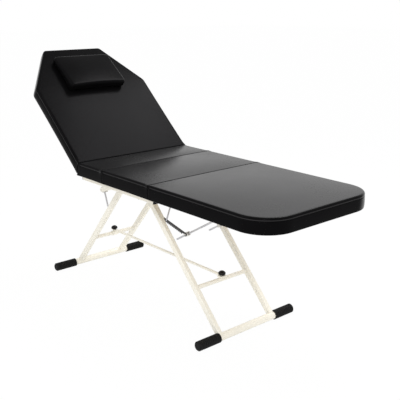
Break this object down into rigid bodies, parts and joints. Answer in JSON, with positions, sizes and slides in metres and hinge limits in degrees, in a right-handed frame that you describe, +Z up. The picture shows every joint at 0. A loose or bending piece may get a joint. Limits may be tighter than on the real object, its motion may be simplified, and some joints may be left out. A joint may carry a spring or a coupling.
{
  "type": "folding massage table",
  "caption": "Folding massage table: black padded top with tilting backrest, lifting legrest and headrest pillow on a white tube frame with folding legs tied by a rod.",
  "frame": {"origin": "on the floor, at the bottom centre of the table's box, in the pose of the picture", "axes": "+X towards the foot end, +Y towards the far side of the picture, +Z up"},
  "size_m": [1.7076, 0.6162, 1.0818],
  "materials": {
    "leatherette": "satin black leatherette",
    "plywood": "raw plywood",
    "frame_paint": "warm white powder coat",
    "foot_rubber": "ribbed matte rubber",
    "black_plastic": "moulded satin plastic",
    "bush_nylon": "natural nylon",
    "rack_steel": "dark phosphated steel",
    "guide_zinc": "zinc die casting",
    "hook_tape": "woven hook and loop tape",
    "zinc_steel": "zinc plated"
  },
  "bodies": {
    "seat_frame": {"seat_side_rails": "frame_paint", "seat_cross_tubes": "frame_paint", "rail_end_plugs": "black_plastic", "seat_board_rear": "plywood", "seat_board_front": "plywood", "seat_pad_rear": "leatherette", "seat_pad_front": "leatherette", "board_screws": "zinc_steel", "head_leg_brackets": "frame_paint", "foot_leg_brackets": "frame_paint", "head_leg_pivot_pins": "zinc_steel", "foot_leg_pivot_pins": "zinc_steel", "backrest_hinge_fixed_leaves": "zinc_steel", "backrest_hinge_pins": "zinc_steel", "legrest_hinge_fixed_leaves": "zinc_steel", "legrest_hinge_pins": "zinc_steel", "backrest_stay_arms": "frame_paint", "strut_hanger_arms": "frame_paint", "strut_hanger_rods": "zinc_steel", "strut_rack_bars": "rack_steel", "strut_rack_bolts": "zinc_steel"},
    "backrest": {"backrest_pad": "leatherette", "backrest_board": "plywood", "hinge_batten": "plywood", "backrest_hinge_swing_leaves": "zinc_steel", "backrest_stay_clips": "zinc_steel", "backrest_stay_pins": "zinc_steel", "backrest_loop_strip": "hook_tape"},
    "backrest_stay_pair": {"backrest_stays": "zinc_steel"},
    "backrest_guide_pair": {"backrest_stay_guides": "guide_zinc"},
    "legrest": {"legrest_pad": "leatherette", "legrest_board": "plywood", "legrest_hinge_swing_leaves": "zinc_steel", "legrest_strut_clips": "zinc_steel", "legrest_strut_pins": "zinc_steel"},
    "legrest_strut_pair": {"legrest_struts": "zinc_steel"},
    "legrest_guide_pair": {"legrest_strut_guides": "guide_zinc"},
    "head_legs": {"head_leg_rails": "frame_paint", "head_leg_bushes": "bush_nylon", "head_mid_bar": "frame_paint", "head_foot_bar": "frame_paint", "head_foot_sleeves": "foot_rubber"},
    "foot_legs": {"foot_leg_rails": "frame_paint", "foot_leg_bushes": "bush_nylon", "foot_mid_bar": "frame_paint", "foot_foot_bar": "frame_paint", "foot_foot_sleeves": "foot_rubber"},
    "tie_bar": {"tie_rod": "frame_paint", "tie_rod_saddle": "frame_paint", "tie_rod_tab": "frame_paint"},
    "head_knob_screw": {"head_knob": "black_plastic", "head_knob_stud": "zinc_steel"},
    "foot_knob_screw": {"foot_knob": "black_plastic", "foot_knob_stud": "zinc_steel"},
    "pillow": {"headrest_pillow": "leatherette", "pillow_hook_strip": "hook_tape"}
  },
  "joints": [
    {"name": "backrest_tilt", "type": "hinge", "parent": "seat_frame", "child": "backrest", "pos_m": [-0.31724, 0, 0.56], "axis": [0, 1, 0], "range_deg": [-41, 0]},
    {"name": "backrest_stay_swing", "type": "hinge", "parent": "backrest", "child": "backrest_stay_pair", "pos_m": [-0.54086, 0, 0.7524], "axis": [0, 1, 0], "range_deg": [-0.5, 4.39]},
    {"name": "backrest_guide_swivel", "type": "hinge", "parent": "seat_frame", "child": "backrest_guide_pair", "pos_m": [-0.42645, 0, 0.4406], "axis": [0, 1, 0], "range_deg": [-37.61, 0.5]},
    {"name": "legrest_tilt", "type": "hinge", "parent": "seat_frame", "child": "legrest", "pos_m": [0.21825, 0, 0.56], "axis": [0, -1, 0], "range_deg": [0, 25]},
    {"name": "legrest_strut_swing", "type": "hinge", "parent": "legrest", "child": "legrest_strut_pair", "pos_m": [0.50025, 0, 0.55], "axis": [0, -1, 0], "range_deg": [-9.1, 0.5]},
    {"name": "legrest_guide_swivel", "type": "hinge", "parent": "seat_frame", "child": "legrest_guide_pair", "pos_m": [0.20005, 0, 0.3735], "axis": [0, -1, 0], "range_deg": [-0.5, 16.9]},
    {"name": "leg_fold", "type": "hinge", "parent": "seat_frame", "child": "head_legs", "pos_m": [-0.20575, 0, 0.517], "axis": [0, 1, 0], "range_deg": [0, 47.3]},
    {"name": "foot_leg_fold", "type": "hinge", "parent": "seat_frame", "child": "foot_legs", "pos_m": [-0.00275, 0, 0.517], "axis": [0, -1, 0], "range_deg": [-0.5, 38.86]},
    {"name": "tie_rod_swing", "type": "hinge", "parent": "head_legs", "child": "tie_bar", "pos_m": [-0.49396, 0, 0.181], "axis": [0, 1, 0], "range_deg": [-47.8, 0.5]},
    {"name": "head_knob_turn", "type": "hinge", "parent": "tie_bar", "child": "head_knob_screw", "pos_m": [-0.49396, 0, 0.181], "axis": [0, 0, 1], "continuous": true},
    {"name": "foot_knob_turn", "type": "hinge", "parent": "tie_bar", "child": "foot_knob_screw", "pos_m": [0.31584, 0, 0.181], "axis": [0, 0, 1], "continuous": true},
    {"name": "pillow_lift", "type": "slide", "parent": "backrest", "child": "pillow", "axis": [0.6561, 0, 0.7547], "range_m": [0, 0.12]}
  ],
  "couplings": [
    {"joint": "backrest_stay_swing", "follows": "backrest_tilt", "ratio": -0.095},
    {"joint": "backrest_guide_swivel", "follows": "backrest_tilt", "ratio": 0.905},
    {"joint": "legrest_strut_swing", "follows": "legrest_tilt", "ratio": -0.344},
    {"joint": "legrest_guide_swivel", "follows": "legrest_tilt", "ratio": 0.656},
    {"joint": "foot_leg_fold", "follows": "leg_fold", "ratio": 0.811},
    {"joint": "tie_rod_swing", "follows": "leg_fold", "ratio": -1}
  ]
}
